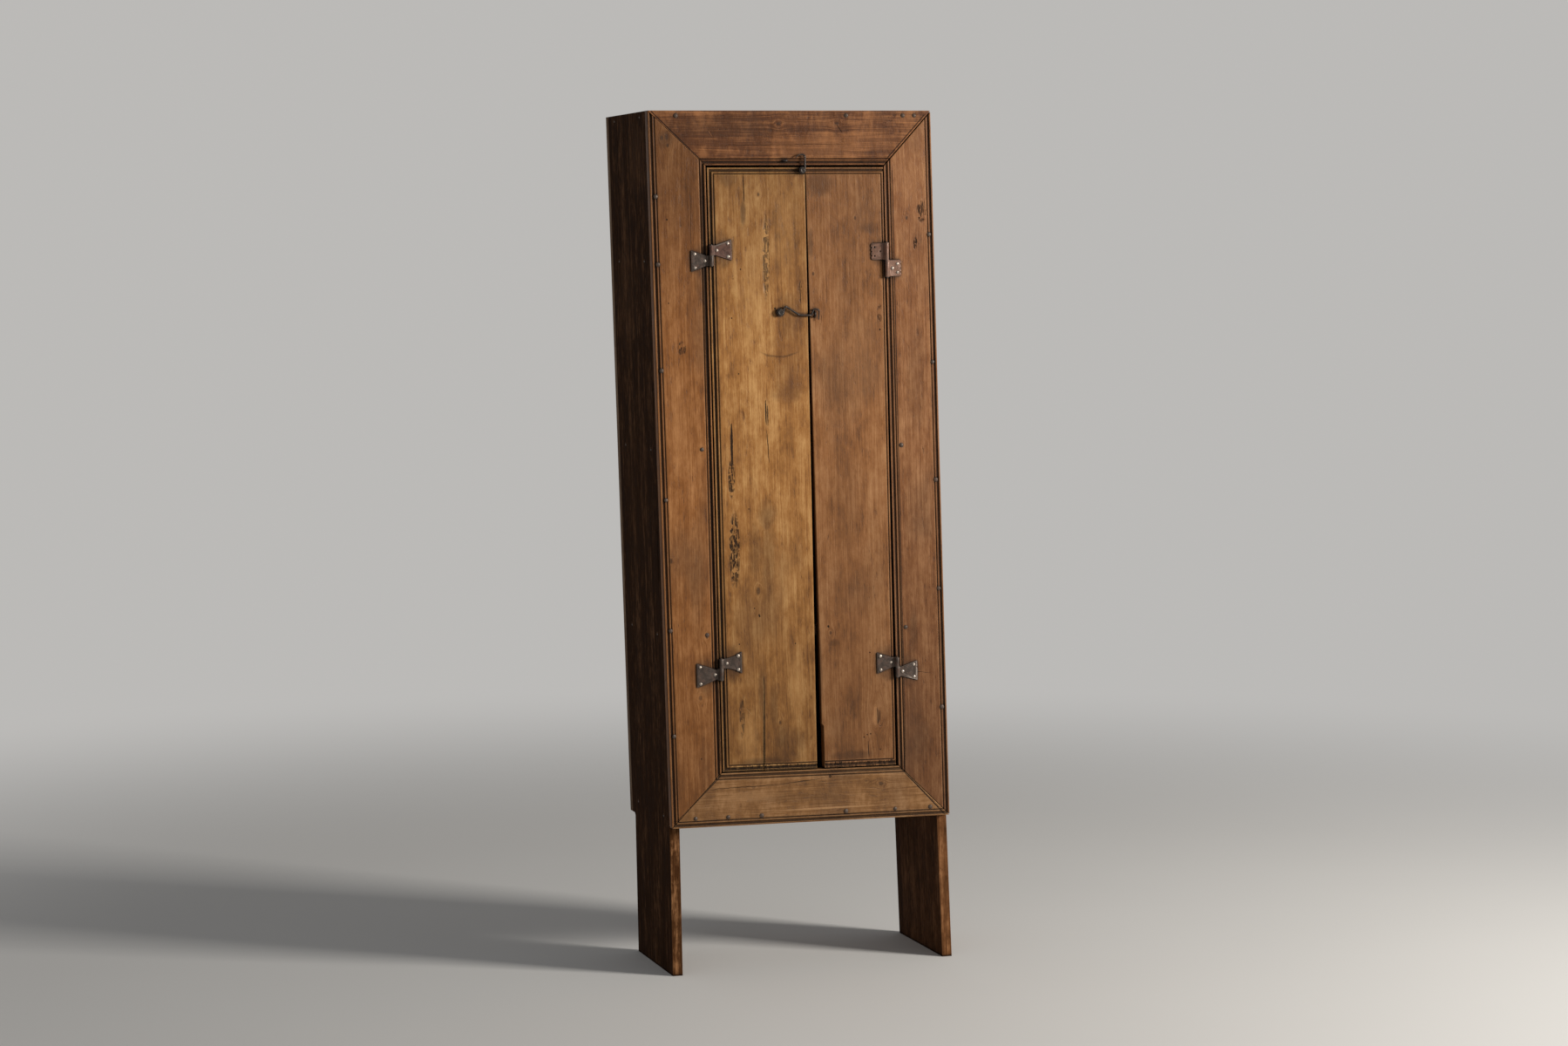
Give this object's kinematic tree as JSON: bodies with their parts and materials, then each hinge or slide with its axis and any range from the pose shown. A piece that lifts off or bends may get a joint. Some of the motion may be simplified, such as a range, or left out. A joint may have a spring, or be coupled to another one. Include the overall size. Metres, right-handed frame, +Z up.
{
  "type": "two-door plank cupboard",
  "caption": "Tall narrow cupboard of nailed planks standing on its side boards, with a moulded mitred front frame, shelves, paired doors on iron leaf hinges, and iron hooks.",
  "frame": {"origin": "bottom centre of the bounding box, on the floor", "axes": "+Z up, +X towards the viewer's right when facing the doors, front faces -Y"},
  "size_m": [0.6676, 0.3466, 1.8],
  "materials": {
    "side_wood": "dark, dry, worn plank",
    "inner_wood": "plain unfinished plank",
    "back_wood": "dry unfinished plank",
    "frame_wood": "worn reddish brown with a low sheen",
    "left_door_wood": "worn ochre brown with a low sheen",
    "right_door_wood": "worn reddish brown with a low sheen",
    "hinge_iron": "rusted wrought iron",
    "hook_iron": "dark handled iron",
    "nail_iron": "hammered iron, bright where rubbed"
  },
  "bodies": {
    "case": {"left_side": "side_wood", "right_side": "side_wood", "top_board": "inner_wood", "bottom_board": "inner_wood", "shelf_1": "inner_wood", "shelf_2": "inner_wood", "shelf_3": "inner_wood", "back_plank_1": "back_wood", "back_plank_2": "back_wood", "back_plank_3": "back_wood", "top_rail": "frame_wood", "bottom_rail": "frame_wood", "left_stile": "frame_wood", "right_stile": "frame_wood", "hinge_top_left_frame_leaf": "hinge_iron", "hinge_low_left_frame_leaf": "hinge_iron", "hinge_top_right_frame_leaf": "hinge_iron", "hinge_low_right_frame_leaf": "hinge_iron", "hinge_top_left_pin": "hinge_iron", "hinge_low_left_pin": "hinge_iron", "hinge_top_right_pin": "hinge_iron", "hinge_low_right_pin": "hinge_iron", "frame_nails": "nail_iron", "side_nails": "nail_iron", "back_nails": "nail_iron", "frame_leaf_nails": "nail_iron", "rail_staple": "hook_iron"},
    "left_door": {"left_door_plank": "left_door_wood", "hinge_top_left_door_leaf": "hinge_iron", "hinge_low_left_door_leaf": "hinge_iron", "left_leaf_nails": "nail_iron", "latch_stud": "hook_iron", "top_hook_stud": "hook_iron"},
    "right_door": {"right_door_plank": "right_door_wood", "hinge_top_right_door_leaf": "hinge_iron", "hinge_low_right_door_leaf": "hinge_iron", "right_leaf_nails": "nail_iron", "catch_staple": "hook_iron"},
    "latch_hook": {"latch_hook": "hook_iron"},
    "top_hook": {"top_hook": "hook_iron"}
  },
  "joints": [
    {"name": "left_door_hinge", "type": "hinge", "parent": "case", "child": "left_door", "pos_m": [-0.18579, -0.1689, 0.64494], "axis": [0.0188, 0, -0.9998], "range_deg": [0, 170]},
    {"name": "right_door_hinge", "type": "hinge", "parent": "case", "child": "right_door", "pos_m": [0.20169, -0.1689, 0.63306], "axis": [-0.0247, 0, 0.9997], "range_deg": [0, 170]},
    {"name": "latch_hook_pivot", "type": "hinge", "parent": "left_door", "child": "latch_hook", "pos_m": [-0.05352, -0.1687, 1.38204], "axis": [0, -1, 0], "range_deg": [0, 100]},
    {"name": "top_hook_pivot", "type": "hinge", "parent": "left_door", "child": "top_hook", "pos_m": [-0.0045, -0.1687, 1.67503], "axis": [0, -1, 0], "range_deg": [0, 150]}
  ]
}
